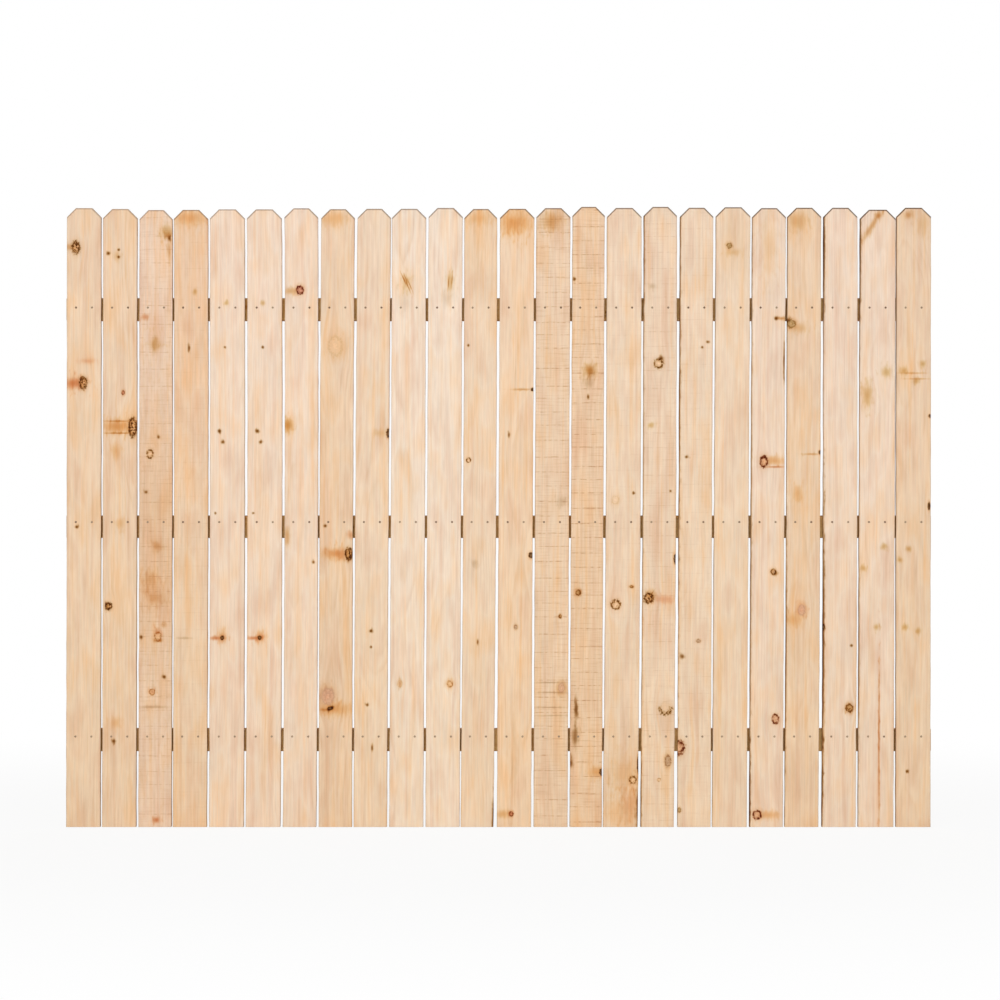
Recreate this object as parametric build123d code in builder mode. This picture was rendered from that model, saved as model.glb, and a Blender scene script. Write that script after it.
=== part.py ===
"""Dog-ear fence panel: upright pickets nailed side by side onto three rails.

All sizes are in millimetres. The panel stands on Z = 0, its face looks
toward -Y, and the rails lie behind the pickets at +Y. Every board and
every nail is a solid of its own, cut and placed as in the real panel.
"""
import os

from build123d import *

os.makedirs("parts", exist_ok=True)

# Pickets: sawn boards with both top corners cut off
PICKET_COUNT = 24
PICKET_WIDTH = 95.25
PICKET_THICKNESS = 15.9
PICKET_LENGTH = 1746.0
EAR_CUT = 25.4
GAP = 6.35

# Rails: one board on its edge behind each row of nails
RAIL_HEIGHT = 63.5
RAIL_DEPTH = 38.1
RAIL_OVERHANG = 3.0
TOP_RAIL_DROP = 287.5      # head of the pickets down to the rail's middle
BOTTOM_RAIL_RISE = 244.0   # foot of the pickets up to the rail's middle
MIDDLE_RAIL_DROP = 6.0     # below half way between the other two

# Nails: two through each picket into each rail, a little above its middle
NAIL_SPACING = 45.0
NAIL_SHANK = 2.4
NAIL_BITE = 25.0           # depth of the nail in the rail
NAIL_POINT = 5.0
NAIL_HEAD_WIDTH = 6.0
NAIL_HEAD_THICKNESS = 1.0
TOP_NAIL_RISE = 4.0
MIDDLE_NAIL_RISE = 13.5
BOTTOM_NAIL_RISE = 11.0

# How each picket was nailed, from the left, in shares of the gap: how far its
# foot and head stray sideways, how far its middle bows, how much wider it is
FOOT_STRAY = (-0.2, -0.3, -0.4, -1.0, -0.7, -0.5, -0.3, -0.4, -0.9, -1.0, -0.9, -1.6,
              -1.2, -1.0, -1.4, -2.1, -1.8, -1.4, -1.7, -1.5, -1.8, -1.3, -0.9, -0.3)
HEAD_STRAY = (0.2, 0.2, 0.1, -0.4, -0.3, 0.1, 0.5, 0.8, 0.9, 0.3, 0.5, 0.1,
              0.3, 0.3, -0.1, -0.3, -0.3, -0.2, 0.0, -0.1, -0.5, -0.5, 0.1, 0.0)
BOW = (0.1, 0.1, 0.1, 0.3, 0.2, 0.5, 0.4, -0.2, -0.2, 0.1, 0.0, 0.3,
       0.0, 0.0, 0.0, 0.4, 0.3, 0.0, 0.0, 0.0, 0.2, 0.3, 0.1, 0.0)
EXTRA_WIDTH = (0.2, 0.1, -0.3, 0.1, 0.4, 0.4, -0.2, -0.2, -0.2, 0.1, 0.1, -0.4,
               0.2, 0.1, -0.7, 0.4, -0.2, -0.2, 0.3, -0.1, 0.0, 0.1, 0.8, 0.4)
# How much shorter each picket was cut than the longest, in millimetres
HEAD_DROP = (3.5, 6.0, 9.0, 8.5, 7.0, 7.0, 4.0, 6.5, 5.5, 5.5, 3.0, 6.0,
             5.5, 3.5, 0.0, 3.0, 0.0, 2.5, 1.0, 3.5, 2.5, 2.5, 8.0, 2.5)

# Sizes that follow from those above
PITCH = PICKET_WIDTH + GAP
PANEL_WIDTH = PICKET_COUNT * PITCH - GAP
RAIL_LENGTH = PANEL_WIDTH + 2 * RAIL_OVERHANG
TOP_RAIL_Z = PICKET_LENGTH - TOP_RAIL_DROP
BOTTOM_RAIL_Z = BOTTOM_RAIL_RISE
MIDDLE_RAIL_Z = (TOP_RAIL_Z + BOTTOM_RAIL_Z) / 2 - MIDDLE_RAIL_DROP
TOP_NAIL_Z = TOP_RAIL_Z + TOP_NAIL_RISE
MIDDLE_NAIL_Z = MIDDLE_RAIL_Z + MIDDLE_NAIL_RISE
BOTTOM_NAIL_Z = BOTTOM_RAIL_Z + BOTTOM_NAIL_RISE
PANEL_DEPTH = NAIL_HEAD_THICKNESS + PICKET_THICKNESS + RAIL_DEPTH
FACE_Y = NAIL_HEAD_THICKNESS - PANEL_DEPTH / 2
RAIL_FRONT_Y = FACE_Y + PICKET_THICKNESS
RAIL_MIDDLE_Y = RAIL_FRONT_Y + RAIL_DEPTH / 2


def share(shares, index):
    """One picket's value from a list, which starts again for a longer panel."""
    return shares[index % len(shares)]


def middle_of(index, height):
    """Where the middle line of a picket runs at a height, left to right."""
    part_way = height / PICKET_LENGTH
    foot = share(FOOT_STRAY, index)
    head = share(HEAD_STRAY, index)
    bow = share(BOW, index) * 4 * part_way * (1 - part_way)
    stray = foot + (head - foot) * part_way + bow
    even = (index - (PICKET_COUNT - 1) / 2) * PITCH
    return even + stray * GAP


def nail_spots(index, height):
    """The two places on the face where a picket is nailed at a height."""
    middle = middle_of(index, height)
    left = (middle - NAIL_SPACING / 2, FACE_Y, height)
    right = (middle + NAIL_SPACING / 2, FACE_Y, height)
    return [left, right]


def all_spots(height):
    """Every nail place in the row at a height."""
    spots = []
    for index in range(PICKET_COUNT):
        spots += nail_spots(index, height)
    return spots


# One nail, its head standing on the face of the board: a six-sided head and a
# square shank, because a panel holds so many of them
with BuildPart() as nail:
    with BuildSketch(Plane.XZ):
        RegularPolygon(radius=NAIL_HEAD_WIDTH / 2, side_count=6)
    extrude(amount=NAIL_HEAD_THICKNESS)
    with BuildSketch(Plane.XZ):
        Rectangle(NAIL_SHANK, NAIL_SHANK)
    extrude(amount=-(PICKET_THICKNESS + NAIL_BITE - NAIL_POINT))
    with Locations((0, PICKET_THICKNESS + NAIL_BITE - NAIL_POINT / 2, 0)):
        Wedge(NAIL_SHANK, NAIL_POINT, NAIL_SHANK,
              NAIL_SHANK / 2, NAIL_SHANK / 2, NAIL_SHANK / 2, NAIL_SHANK / 2)

# The rails, each holed by the nails driven into it
with BuildPart() as top_rail:
    with Locations((0, RAIL_MIDDLE_Y, TOP_RAIL_Z)):
        Box(RAIL_LENGTH, RAIL_DEPTH, RAIL_HEIGHT)
    with Locations(*all_spots(TOP_NAIL_Z)):
        add(nail.part, mode=Mode.SUBTRACT)
top_rail.part.label = "top_rail"
export_step(top_rail.part, "parts/top_rail.step")

with BuildPart() as middle_rail:
    with Locations((0, RAIL_MIDDLE_Y, MIDDLE_RAIL_Z)):
        Box(RAIL_LENGTH, RAIL_DEPTH, RAIL_HEIGHT)
    with Locations(*all_spots(MIDDLE_NAIL_Z)):
        add(nail.part, mode=Mode.SUBTRACT)
middle_rail.part.label = "middle_rail"
export_step(middle_rail.part, "parts/middle_rail.step")

with BuildPart() as bottom_rail:
    with Locations((0, RAIL_MIDDLE_Y, BOTTOM_RAIL_Z)):
        Box(RAIL_LENGTH, RAIL_DEPTH, RAIL_HEIGHT)
    with Locations(*all_spots(BOTTOM_NAIL_Z)):
        add(nail.part, mode=Mode.SUBTRACT)
bottom_rail.part.label = "bottom_rail"
export_step(bottom_rail.part, "parts/bottom_rail.step")

# The nails, one group for each rail
with BuildPart() as top_rail_nails:
    with Locations(*all_spots(TOP_NAIL_Z)):
        add(nail.part)
top_rail_nails.part.label = "top_rail_nails"
export_step(top_rail_nails.part, "parts/top_rail_nails.step")

with BuildPart() as middle_rail_nails:
    with Locations(*all_spots(MIDDLE_NAIL_Z)):
        add(nail.part)
middle_rail_nails.part.label = "middle_rail_nails"
export_step(middle_rail_nails.part, "parts/middle_rail_nails.step")

with BuildPart() as bottom_rail_nails:
    with Locations(*all_spots(BOTTOM_NAIL_Z)):
        add(nail.part)
bottom_rail_nails.part.label = "bottom_rail_nails"
export_step(bottom_rail_nails.part, "parts/bottom_rail_nails.step")

# The pickets from the left: a board with two long edges that bow alike, a
# level foot and a head with its corners cut off
for index in range(PICKET_COUNT):
    half = (PICKET_WIDTH + share(EXTRA_WIDTH, index) * GAP) / 2
    head_z = PICKET_LENGTH - share(HEAD_DROP, index)
    ear_z = head_z - EAR_CUT
    foot_x = middle_of(index, 0)
    ear_x = middle_of(index, ear_z)
    pull_x = 2 * middle_of(index, ear_z / 2) - (foot_x + ear_x) / 2
    nails = nail_spots(index, TOP_NAIL_Z)
    nails += nail_spots(index, MIDDLE_NAIL_Z)
    nails += nail_spots(index, BOTTOM_NAIL_Z)
    with BuildPart() as picket:
        with BuildSketch(Plane.XZ.offset(-RAIL_FRONT_Y)):
            with BuildLine():
                Bezier((foot_x + half, 0), (pull_x + half, ear_z / 2), (ear_x + half, ear_z))
                Line((ear_x + half, ear_z), (ear_x + half - EAR_CUT, head_z))
                Line((ear_x + half - EAR_CUT, head_z), (ear_x - half + EAR_CUT, head_z))
                Line((ear_x - half + EAR_CUT, head_z), (ear_x - half, ear_z))
                Bezier((ear_x - half, ear_z), (pull_x - half, ear_z / 2), (foot_x - half, 0))
                Line((foot_x - half, 0), (foot_x + half, 0))
            make_face()
        extrude(amount=PICKET_THICKNESS)
        with Locations(*nails):
            add(nail.part, mode=Mode.SUBTRACT)
    picket.part.label = f"picket_{index + 1:02d}"
    export_step(picket.part, f"parts/picket_{index + 1:02d}.step")
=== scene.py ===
# %% [markdown]
# # A dog-ear fence panel in sawn pine
# The panel is a row of upright boards, the pickets, nailed onto three rails behind them. This lesson
# dresses the panel's solid model: each board gets eased edges and its own grain, knots and stains, the
# rails get theirs, and the nails get round heads. The solid model is loaded first and fixes every place.

# %% Load the solid model
import math

import bmesh
import bpy
import numpy as np
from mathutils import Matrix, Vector


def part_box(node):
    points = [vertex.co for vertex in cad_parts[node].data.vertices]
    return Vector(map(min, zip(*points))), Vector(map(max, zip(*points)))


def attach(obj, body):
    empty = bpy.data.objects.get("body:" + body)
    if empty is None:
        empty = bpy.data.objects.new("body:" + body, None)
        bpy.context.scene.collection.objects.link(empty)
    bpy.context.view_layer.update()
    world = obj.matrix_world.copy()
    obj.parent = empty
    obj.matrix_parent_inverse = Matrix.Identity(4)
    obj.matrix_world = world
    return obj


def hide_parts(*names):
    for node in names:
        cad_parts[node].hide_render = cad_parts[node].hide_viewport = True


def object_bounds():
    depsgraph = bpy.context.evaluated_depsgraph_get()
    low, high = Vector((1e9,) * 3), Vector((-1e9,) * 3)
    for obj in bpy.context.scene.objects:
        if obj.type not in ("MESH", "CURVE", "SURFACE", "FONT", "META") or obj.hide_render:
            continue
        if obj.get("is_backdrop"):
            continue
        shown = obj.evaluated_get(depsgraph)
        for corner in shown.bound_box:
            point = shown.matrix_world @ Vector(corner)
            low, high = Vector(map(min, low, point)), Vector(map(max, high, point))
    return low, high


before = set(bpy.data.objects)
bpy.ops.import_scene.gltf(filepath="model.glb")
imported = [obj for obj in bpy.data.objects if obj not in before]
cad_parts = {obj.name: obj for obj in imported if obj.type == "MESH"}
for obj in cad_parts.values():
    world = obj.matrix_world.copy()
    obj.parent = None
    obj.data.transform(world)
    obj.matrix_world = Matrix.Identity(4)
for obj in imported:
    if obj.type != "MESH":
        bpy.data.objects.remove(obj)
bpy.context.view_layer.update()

MM = 0.001
PICKETS = sorted(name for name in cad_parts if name.startswith("picket_"))
RAILS = ["top_rail", "middle_rail", "bottom_rail"]
print(len(PICKETS), "pickets and", len(RAILS), "rails")

# %% [markdown]
# ## Camera
# The panel was taken square on, from far enough away that no board leans outward, so the camera stands
# 9 m off with a long lens. A level camera at the height of the picture's middle needs no shift: the
# frame is 2815 mm wide at the boards' faces, which gives the focal length.

# %% Set the camera
FRAME_WIDTH = 2815 * MM
DISTANCE = 9.0
CAMERA_SIDE = 3.8 * MM
CAMERA_HEIGHT = 920.8 * MM
SENSOR_WIDTH = 36.0
face_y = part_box("picket_01")[0][1]

bpy.ops.object.camera_add(location=(CAMERA_SIDE, face_y - DISTANCE, CAMERA_HEIGHT),
                          rotation=(math.radians(90), 0, 0))
camera = bpy.context.object
camera.data.sensor_width = SENSOR_WIDTH
camera.data.lens = SENSOR_WIDTH * DISTANCE / FRAME_WIDTH
camera.data.clip_end = 100
bpy.context.scene.camera = camera
bpy.context.scene.view_settings.view_transform = "Standard"
print("lens", round(camera.data.lens, 1), "mm")

# %% [markdown]
# ## Nodes and colours
# Colours are written as sRGB hex values, as a paint chart gives them, and one function turns them into
# the linear values that the renderer works in. A second small function adds any node, with its settings
# and links, so that a material reads as a list of steps. A Mix node's sockets go by place: 0 is the share,
# 6 and 7 are the two colours and output 2 is the mixed one, or 2 and 3 are two numbers.


# %% Helpers for colours and nodes
def colour(hex_code):
    """A colour such as #E8C6A2 in linear light, with full opacity."""
    parts = [int(hex_code[i:i + 2], 16) / 255 for i in (1, 3, 5)]
    return [v / 12.92 if v <= 0.04045 else ((v + 0.055) / 1.055) ** 2.4 for v in parts] + [1.0]


def add(tree, kind, inputs=(), **settings):
    """Adds a node. Inputs go by place or name, and each is a value, a socket, or a node's first output."""
    made = tree.nodes.new(kind)
    for key, value in settings.items():
        setattr(made, key, value)
    for key, value in (inputs.items() if isinstance(inputs, dict) else enumerate(inputs)):
        if isinstance(value, bpy.types.Node):
            value = value.outputs[0]
        if isinstance(value, bpy.types.NodeSocket):
            tree.links.new(value, made.inputs[key])
        elif value is not None:
            made.inputs[key].default_value = value
    return made


def new_group(name, inputs, outputs):
    """A node group with named sockets, and the sockets of its input node."""
    group = bpy.data.node_groups.new(name, "ShaderNodeTree")
    for label, kind in inputs:
        group.interface.new_socket(label, in_out="INPUT", socket_type="NodeSocket" + kind)
    for label, kind in outputs:
        group.interface.new_socket(label, in_out="OUTPUT", socket_type="NodeSocket" + kind)
    return group, add(group, "NodeGroupInput").outputs


print("half grey in linear light:", round(colour("#808080")[0], 3))

# %% [markdown]
# ## Light, floor and backdrop
# A shop picture is lit flat and from the front. A bright world alone could do that, but edges and nail
# heads would then have no lit and no shaded side. So one large soft lamp hangs a little above and left of
# the camera, a weaker one stands right of it, one more stands behind for whoever walks round the panel, and
# a pale world fills the shade, at a level where a colour renders about as it is written. The floor and the
# world are white only where they are seen, so the white ground adds no light to the wood, and the floor
# keeps a faint shadow.

# %% Lamps
# Name, place and width across in metres, and power in watts
LAMPS = (
    ("key softbox", (-2.5, -7.0, 1.75), 3.4, 206.0),
    ("fill softbox", (2.7, -7.0, 1.3), 2.5, 145.0),
    ("back softbox", (1.5, 7.0, 2.2), 4.0, 190.0),
)
LAMP_AIM = Vector((0, 0, 0.85))
for name, place, size, power in LAMPS:
    bpy.ops.object.light_add(type="AREA", location=place)
    lamp = bpy.context.object
    lamp.name = name
    lamp.data.shape = "DISK"
    lamp.data.size = size
    lamp.data.energy = power
    lamp.visible_camera = False
    lamp.rotation_euler = (LAMP_AIM - Vector(place)).to_track_quat("-Z", "Y").to_euler()
print("lamps:", [name for name, *rest in LAMPS])


# %% World
def shows_ground(tree):
    """1 for a ray that shows the white ground: from the camera, or by way of gloss or glass."""
    rays = add(tree, "ShaderNodeLightPath").outputs
    seen = add(tree, "ShaderNodeMath", [rays["Is Camera Ray"], rays["Is Glossy Ray"]], operation="MAXIMUM")
    return add(tree, "ShaderNodeMath", [seen, rays["Is Transmission Ray"]], operation="MAXIMUM")


FILL_LIGHT = 0.45
world = bpy.data.worlds.new("pale studio")
bpy.context.scene.world = world
world.use_nodes = True
tree = world.node_tree
tree.nodes.clear()
fill = add(tree, "ShaderNodeBackground", {"Color": colour("#FFFFFF"), "Strength": FILL_LIGHT})
white = add(tree, "ShaderNodeBackground", {"Color": colour("#FFFFFF"), "Strength": 1.0})
shown = add(tree, "ShaderNodeMixShader", [shows_ground(tree), fill, white])
add(tree, "ShaderNodeOutputWorld", {"Surface": shown})
print("world:", world.name, "at", FILL_LIGHT)

# %% Floor
FLOOR_SIZE = 40.0
FLOOR_DROP = 0.5 * MM
SHADE_START, SHADE_END = 1.3, 4.0
bpy.ops.mesh.primitive_plane_add(size=FLOOR_SIZE, location=(0, 0, -FLOOR_DROP))
floor = bpy.context.object
floor.name = "pale_floor"
# Matt paint: no gloss, so it shows nothing but shade
floor_paint = bpy.data.materials.new("matt white floor paint")
floor_paint.use_nodes = True
tree = floor_paint.node_tree
tree.nodes.clear()
# Near the panel the floor takes its shadow, and farther off it runs into the white of the world
spot = add(tree, "ShaderNodeTexCoord").outputs["Object"]
away = add(tree, "ShaderNodeVectorMath", [spot], operation="LENGTH").outputs["Value"]
share = add(tree, "ShaderNodeMapRange", [away, SHADE_START, SHADE_END, 0.9, 1.0],
            interpolation_type="SMOOTHSTEP")
share = add(tree, "ShaderNodeMath", [shows_ground(tree), share], operation="MULTIPLY")
matt = add(tree, "ShaderNodeBsdfDiffuse", {"Color": colour("#F2F2F0")})
glow = add(tree, "ShaderNodeEmission", {"Color": colour("#FFFFFF"), "Strength": 1.0})
shown = add(tree, "ShaderNodeMixShader", [share, matt, glow])
add(tree, "ShaderNodeOutputMaterial", {"Surface": shown})
floor.data.materials.append(floor_paint)
floor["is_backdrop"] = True
print("floor:", FLOOR_SIZE, "m square")

# %% [markdown]
# ## Grain that flows round a knot
# A knot is the foot of a branch, and the trunk's fibres part around it. Every board carries an attribute
# named board: the place across it, in depth and along it, in millimetres, straightened where the board
# bows. This group pulls that place toward a knot's axis, so that the lines drawn from it later bulge
# around the knot, more strongly the nearer they are. Each line could be bent by itself, but bending the
# place bends every pattern that reads it at once.

# %% Group: grain round a knot
around, have = new_group(
    "grain_round_knot",
    [("Board", "Vector"), ("Side", "Float"), ("Height", "Float"), ("Half Width", "Float"),
     ("Half Height", "Float")],
    [("Board", "Vector")])
centre = add(around, "ShaderNodeCombineXYZ", [have["Side"], 0.0, have["Height"]])
away = add(around, "ShaderNodeVectorMath", [have["Board"], centre], operation="SUBTRACT")
# The pull reaches two half widths to the sides and a little farther up and down
wide = add(around, "ShaderNodeMath", [have["Half Width"], 2.0], operation="MULTIPLY")
tall = add(around, "ShaderNodeMath", [have["Half Width"], 2.6, have["Half Height"]],
           operation="MULTIPLY_ADD")
reach = add(around, "ShaderNodeCombineXYZ", [wide, 1000.0, tall])
far = add(around, "ShaderNodeVectorMath", [away, reach], operation="DIVIDE")
far = add(around, "ShaderNodeVectorMath", [far, far], operation="DOT_PRODUCT").outputs["Value"]
far = add(around, "ShaderNodeMath", [far, -1.0], operation="MULTIPLY")
near = add(around, "ShaderNodeMath", [far], operation="EXPONENT")
# At the axis it takes up most of the distance
push = add(around, "ShaderNodeVectorMath", [away, (0.82, 0.0, 0.0)], operation="MULTIPLY")
push = add(around, "ShaderNodeVectorMath", {"Vector": push, "Scale": near}, operation="SCALE")
pulled = add(around, "ShaderNodeVectorMath", [have["Board"], push], operation="SUBTRACT")
add(around, "NodeGroupOutput", [pulled])
print(around.name, len(around.nodes), "nodes")

# %% [markdown]
# ## Pine
# A sawn board shows its tree's growth rings. The rings are shells around the pith, a line that wanders
# up the trunk, so the distance from that line gives the pattern by itself: arches where the saw ran along
# a ring, straight lines where it crossed them, and arcs on the end grain. A stretched noise would give
# the streaks, but not the arches. Each ring is pale early wood that darkens into a line of late wood. Real
# rings here are 2 to 4 mm apart. In the picture they merge into streaks, so they are drawn 5 to 8 mm
# apart, as coarse as they show.

# %% Group: sawn pine, its rings
pine, have = new_group(
    "sawn_pine",
    [("Board", "Vector"), ("Pith Side", "Float"), ("Pith Depth", "Float"), ("Ring Width", "Float"),
     ("Figure", "Float"), ("Early Wood", "Color"), ("Late Wood", "Color"), ("Fibre", "Float"),
     ("Seed", "Float")],
    [("Color", "Color")])
# Each board takes its patterns from another stretch of the same noise
apart = add(pine, "ShaderNodeVectorMath", {"Vector": (310.0, 170.0, 2900.0), "Scale": have["Seed"]},
            operation="SCALE")
place = add(pine, "ShaderNodeVectorMath", [have["Board"], apart], operation="ADD")
# The pith sways about 15 mm over half a metre of trunk
at = add(pine, "ShaderNodeVectorMath", [place, (0.0, 0.0, 1 / 480)], operation="MULTIPLY")
sway = add(pine, "ShaderNodeTexNoise", {"Vector": at, "Scale": 1.0, "Detail": 1.0}).outputs["Color"]
sway = add(pine, "ShaderNodeVectorMath", [sway, (0.5, 0.5, 0.5)], operation="SUBTRACT")
sway = add(pine, "ShaderNodeVectorMath", [sway, (46.0, 60.0, 0.0)], operation="MULTIPLY")
pith = add(pine, "ShaderNodeCombineXYZ", [have["Pith Side"], have["Pith Depth"], 0.0])
pith = add(pine, "ShaderNodeVectorMath", [pith, sway], operation="ADD")
radius = add(pine, "ShaderNodeVectorMath", [have["Board"], pith], operation="SUBTRACT")
radius = add(pine, "ShaderNodeVectorMath", [radius, (1.0, 1.0, 0.0)], operation="MULTIPLY")
radius = add(pine, "ShaderNodeVectorMath", [radius], operation="LENGTH").outputs["Value"]
# The rings ripple by a few millimetres
at = add(pine, "ShaderNodeVectorMath", [place, (1 / 22, 1 / 22, 1 / 190)], operation="MULTIPLY")
ripple = add(pine, "ShaderNodeTexNoise", {"Vector": at, "Scale": 1.0, "Detail": 2.0})
radius = add(pine, "ShaderNodeMath", [ripple, 7.0, radius], operation="MULTIPLY_ADD")
years = add(pine, "ShaderNodeMath", [radius, have["Ring Width"]], operation="DIVIDE")
season = add(pine, "ShaderNodeMath", [years], operation="FRACT")
late = add(pine, "ShaderNodeValToRGB", [season])
late.color_ramp.elements[0].color = (0, 0, 0, 1)
late.color_ramp.elements[1].color = (0, 0, 0, 1)
for position, level in ((0.45, 0.15), (0.84, 1.0)):
    step = late.color_ramp.elements.new(position)
    step.color = (level, level, level, 1)
print(pine.name, "rings", len(pine.nodes), "nodes")

# %% Group: sawn pine, its colour
# Broad patches, half a hand wide: the noise colour's channels are three unlike patterns
at = add(pine, "ShaderNodeVectorMath", [place, (1 / 48, 1 / 48, 1 / 150)], operation="MULTIPLY")
patch = add(pine, "ShaderNodeTexNoise", {"Vector": at, "Scale": 1.0, "Detail": 3.0}).outputs["Color"]
patch = add(pine, "ShaderNodeSeparateXYZ", [patch]).outputs
# No two years are alike, and the figure fades in and out along the board
year = add(pine, "ShaderNodeMath", [years], operation="FLOOR")
year = add(pine, "ShaderNodeMath", [have["Seed"], 57.0, year], operation="MULTIPLY_ADD")
year = add(pine, "ShaderNodeTexWhiteNoise", {"W": year}, noise_dimensions="1D").outputs["Value"]
year = add(pine, "ShaderNodeMapRange", [year, 0.0, 1.0, 0.25, 1.0])
fade = add(pine, "ShaderNodeMapRange", [patch["Y"], 0.35, 0.65, 0.15, 1.0])
late = add(pine, "ShaderNodeMath", [late, year], operation="MULTIPLY")
late = add(pine, "ShaderNodeMath", [late, fade], operation="MULTIPLY")
ring = add(pine, "ShaderNodeMath", [late, have["Figure"]], operation="MULTIPLY")
wood = add(pine, "ShaderNodeMix", {0: ring, 6: have["Early Wood"], 7: have["Late Wood"]},
           data_type="RGBA").outputs[2]
# Long streaks of rosier and yellower wood, 10 to 20 mm wide, and patches of the same
at = add(pine, "ShaderNodeVectorMath", [place, (1 / 13, 1 / 13, 1 / 520)], operation="MULTIPLY")
streak = add(pine, "ShaderNodeTexNoise", {"Vector": at, "Scale": 1.0, "Detail": 3.0})
for pattern in (streak.outputs[0], patch["Z"]):
    tint = add(pine, "ShaderNodeValToRGB", [pattern])
    tint.color_ramp.elements[0].position = 0.3
    tint.color_ramp.elements[0].color = colour("#F8EEE8")
    tint.color_ramp.elements[1].position = 0.7
    tint.color_ramp.elements[1].color = colour("#FFF3E4")
    middle = tint.color_ramp.elements.new(0.5)
    middle.color = colour("#FFFFFF")
    wood = add(pine, "ShaderNodeMix", {0: 1.0, 6: wood, 7: tint}, data_type="RGBA",
               blend_type="MULTIPLY").outputs[2]
patch = add(pine, "ShaderNodeMapRange", [patch["X"], 0.3, 0.7, 0.962, 1.032])
# Fibres show as fine lighter and darker lines
lines = add(pine, "ShaderNodeMapRange", [have["Fibre"], 0.3, 0.7, 0.935, 1.05])
value = add(pine, "ShaderNodeMath", [patch, lines], operation="MULTIPLY")
wood = add(pine, "ShaderNodeVectorMath", {"Vector": wood, "Scale": value}, operation="SCALE")
add(pine, "NodeGroupOutput", [wood])
print(pine.name, len(pine.nodes), "nodes")

# %% [markdown]
# ## Stains and painted edge shade
# Resin, bark pockets, mould and the reddish wood beside a branch all darken the board in soft-edged
# patches, and a pin knot is only a small dark one. Resin works like a filter: a thin film takes out the
# blue first, then the green, so a stain's rim is orange before it is brown. Raising the stain's colour to
# a power between 0 and 1 gives that, and multiplying keeps the grain visible. Mixing in one flat colour
# would be simpler, but would hide the grain and leave a dull rim. The edge is ragged along the fibres, and
# Slant leans a long thin stain. Soot as a spot is a dark stain, but soot as a long thin line down a
# board's edge is painted shade: the shaded side face, seen past the arris.

# %% Group: stain
stain, have = new_group(
    "stain",
    [("Color", "Color"), ("Board", "Vector"), ("Side", "Float"), ("Height", "Float"),
     ("Half Width", "Float"), ("Half Height", "Float"), ("Stain", "Color"), ("Strength", "Float"),
     ("Slant", "Float"), ("Ragged", "Float")],
    [("Color", "Color")])
centre = add(stain, "ShaderNodeCombineXYZ", [have["Side"], 0.0, have["Height"]])
away = add(stain, "ShaderNodeVectorMath", [have["Board"], centre], operation="SUBTRACT")
away = add(stain, "ShaderNodeSeparateXYZ", [away]).outputs
lean = add(stain, "ShaderNodeMath", [away["Z"], have["Slant"]], operation="MULTIPLY")
side = add(stain, "ShaderNodeMath", [away["X"], lean], operation="SUBTRACT")
away = add(stain, "ShaderNodeCombineXYZ", [side, 0.0, away["Z"]])
half = add(stain, "ShaderNodeCombineXYZ", [have["Half Width"], 1.0, have["Half Height"]])
away = add(stain, "ShaderNodeVectorMath", [away, half], operation="DIVIDE")
far = add(stain, "ShaderNodeVectorMath", [away, away], operation="DOT_PRODUCT").outputs["Value"]
# The stain fades with the square of the distance, faster in some fibres than in others
ragged = add(stain, "ShaderNodeMapRange", [have["Ragged"], 0.3, 0.7, -0.35, -1.9])
far = add(stain, "ShaderNodeMath", [far, ragged], operation="MULTIPLY")
near = add(stain, "ShaderNodeMath", [far], operation="EXPONENT")
near = add(stain, "ShaderNodeMath", [near, have["Strength"]], operation="MULTIPLY")
film = add(stain, "ShaderNodeGamma", [have["Stain"], near])
wood = add(stain, "ShaderNodeMix", {0: 1.0, 6: have["Color"], 7: film}, data_type="RGBA",
           blend_type="MULTIPLY").outputs[2]
add(stain, "NodeGroupOutput", [wood])
print(stain.name, len(stain.nodes), "nodes")

# %% [markdown]
# ## Knots
# Cut across, a branch is a small round of harder, darker wood with rings of its own, often inside a
# broken dark line of bark, and with resin in the wood around it. It could be a plug let into the board,
# but the saw left it level with the face, so colour alone shows it. The group measures how far a point is
# from the knot's middle, where 1 is the rim, roughens that distance, and paints halo, heart, rings and
# bark from it. Rim Low leaves bark on the knot's lower side only. Mottle is a noise colour that the whole
# board shares: its channels roughen the outline, break the bark and speckle the heart.

# %% Group: knot face, halo and heart
knot, have = new_group(
    "knot_face",
    [("Color", "Color"), ("Board", "Vector"), ("Mottle", "Vector"), ("Side", "Float"),
     ("Height", "Float"), ("Half Width", "Float"), ("Half Height", "Float"), ("Heart", "Color"),
     ("Bark", "Color"), ("Heart Share", "Float"), ("Bark Share", "Float"), ("Speck Share", "Float"),
     ("Rim Low", "Float")],
    [("Color", "Color")])
centre = add(knot, "ShaderNodeCombineXYZ", [have["Side"], 0.0, have["Height"]])
half = add(knot, "ShaderNodeCombineXYZ", [have["Half Width"], 1000.0, have["Half Height"]])
away = add(knot, "ShaderNodeVectorMath", [have["Board"], centre], operation="SUBTRACT")
away = add(knot, "ShaderNodeVectorMath", [away, half], operation="DIVIDE")
# The mottle shoves the outline in and out
shove = add(knot, "ShaderNodeVectorMath", [have["Mottle"], (0.5, 0.5, 0.5)], operation="SUBTRACT")
away = add(knot, "ShaderNodeVectorMath", [shove, (0.8, 0.0, 0.8), away], operation="MULTIPLY_ADD")
away = add(knot, "ShaderNodeVectorMath", [away, (1.0, 0.0, 1.0)], operation="MULTIPLY")
far = add(knot, "ShaderNodeVectorMath", [away], operation="LENGTH").outputs["Value"]
speck = add(knot, "ShaderNodeSeparateXYZ", [have["Mottle"]]).outputs
# Resin in the wood around the knot
halo = add(knot, "ShaderNodeMapRange", [far, 0.9, 2.2, 0.6, 0.0], interpolation_type="SMOOTHSTEP")
halo = add(knot, "ShaderNodeMath", [halo, have["Heart Share"]], operation="MULTIPLY")
face = add(knot, "ShaderNodeMix", {0: halo, 6: have["Color"], 7: colour("#EFD6B0")}, data_type="RGBA",
           blend_type="MULTIPLY").outputs[2]
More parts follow.
